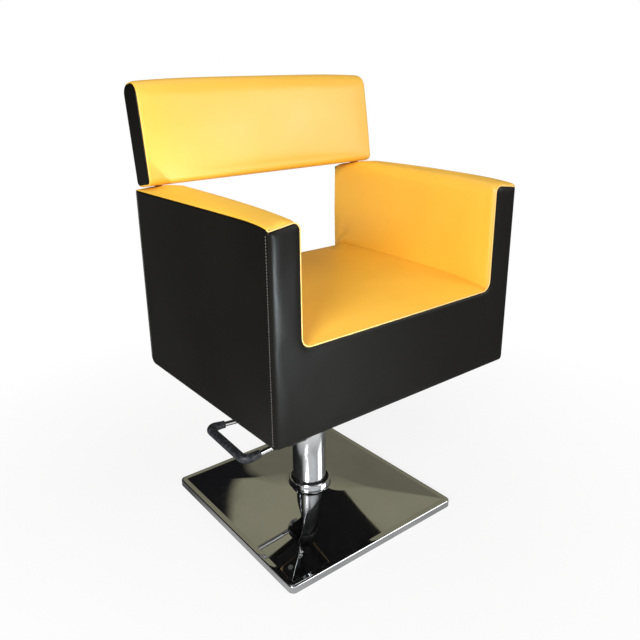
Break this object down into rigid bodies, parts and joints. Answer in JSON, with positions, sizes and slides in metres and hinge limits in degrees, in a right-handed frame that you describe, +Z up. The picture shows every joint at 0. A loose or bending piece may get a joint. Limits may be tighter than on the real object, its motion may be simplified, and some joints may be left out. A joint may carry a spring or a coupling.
{
  "type": "salon styling chair",
  "caption": "Box-shaped upholstered salon chair with a floating back bar, on a hydraulic column with a foot pedal and a square chrome base; it swivels and lifts.",
  "frame": {"origin": "on the swivel axis at the floor, in the middle of the underside of the middle floor pad", "axes": "+Z up the column; the sitter faces -Y; the pedal points to -X, on the sitter's right"},
  "size_m": [0.62, 0.5425, 1.0088],
  "materials": {
    "chrome": "mirror-polished plating",
    "zinc_steel": "zinc-plated steel",
    "black_rubber": "moulded, slightly shiny",
    "black_nylon": "plain moulded",
    "yellow_vinyl": "upholstery vinyl over foam, fine grain, soft sheen",
    "black_vinyl": "upholstery vinyl, fine grain, soft sheen",
    "plywood": "raw plywood",
    "dust_cloth": "black underlining"
  },
  "bodies": {
    "base": {"base_shell": "chrome", "base_plate": "zinc_steel", "floor_pad_middle": "black_rubber", "floor_pad_front_left": "black_rubber", "floor_pad_front_right": "black_rubber", "floor_pad_rear_right": "black_rubber", "floor_pad_rear_left": "black_rubber", "swivel_socket": "zinc_steel", "socket_bolt_front_left": "zinc_steel", "socket_bolt_front_right": "zinc_steel", "socket_bolt_rear_right": "zinc_steel", "socket_bolt_rear_left": "zinc_steel", "swivel_bush": "black_nylon", "thrust_bearing": "black_nylon", "collar_ring": "chrome"},
    "pump": {"pump_casing": "chrome", "pump_foot": "zinc_steel", "pump_cylinder": "zinc_steel", "pump_head": "zinc_steel", "guide_bush": "black_nylon", "wiper_seal": "black_rubber", "front_shaft_bush": "black_nylon", "rear_shaft_bush": "black_nylon", "pedal_spring": "zinc_steel"},
    "pedal": {"pedal_shaft": "zinc_steel", "front_pedal_hub": "chrome", "rear_pedal_hub": "chrome", "pedal_finger": "zinc_steel", "pedal_bar": "chrome", "pedal_grip": "black_rubber"},
    "plunger": {"pump_plunger": "zinc_steel"},
    "seat": {"ram": "chrome", "ram_piston": "zinc_steel", "piston_seal": "black_rubber", "seat_plate": "zinc_steel", "seat_bolt_front_left": "zinc_steel", "seat_bolt_front_right": "zinc_steel", "seat_bolt_rear_right": "zinc_steel", "seat_bolt_rear_left": "zinc_steel", "dust_cover": "dust_cloth", "bottom_board": "plywood", "left_arm_frame": "plywood", "right_arm_frame": "plywood", "front_rail": "plywood", "rear_rail": "plywood", "seat_deck": "plywood", "seat_cushion": "yellow_vinyl", "left_arm_pad": "yellow_vinyl", "right_arm_pad": "yellow_vinyl", "left_side_cover": "black_vinyl", "right_side_cover": "black_vinyl", "front_cover": "black_vinyl", "rear_cover": "black_vinyl", "back_board": "plywood", "back_pad": "yellow_vinyl", "left_back_end": "black_vinyl", "right_back_end": "black_vinyl", "left_back_bracket": "zinc_steel", "right_back_bracket": "zinc_steel"}
  },
  "joints": [
    {"name": "swivel", "type": "hinge", "parent": "base", "child": "pump", "pos_m": [0, 0, 0.03], "axis": [0, 0, 1], "continuous": true},
    {"name": "lift", "type": "slide", "parent": "pump", "child": "seat", "axis": [0, 0, 1], "range_m": [-0.09, 0.055]},
    {"name": "pedal", "type": "hinge", "parent": "pump", "child": "pedal", "pos_m": [-0.05194, 0.00249, 0.2265], "axis": [-0.048, -0.9988, 0], "range_deg": [0, 22], "stiffness_Nm_per_rad": 4, "springref_deg": -20.05},
    {"name": "plunger", "type": "slide", "parent": "pump", "child": "plunger", "axis": [0, 0, -1], "range_m": [0, 0.0081]}
  ],
  "couplings": [
    {"joint": "plunger", "follows": "pedal", "m_per_rad": 0.021}
  ]
}
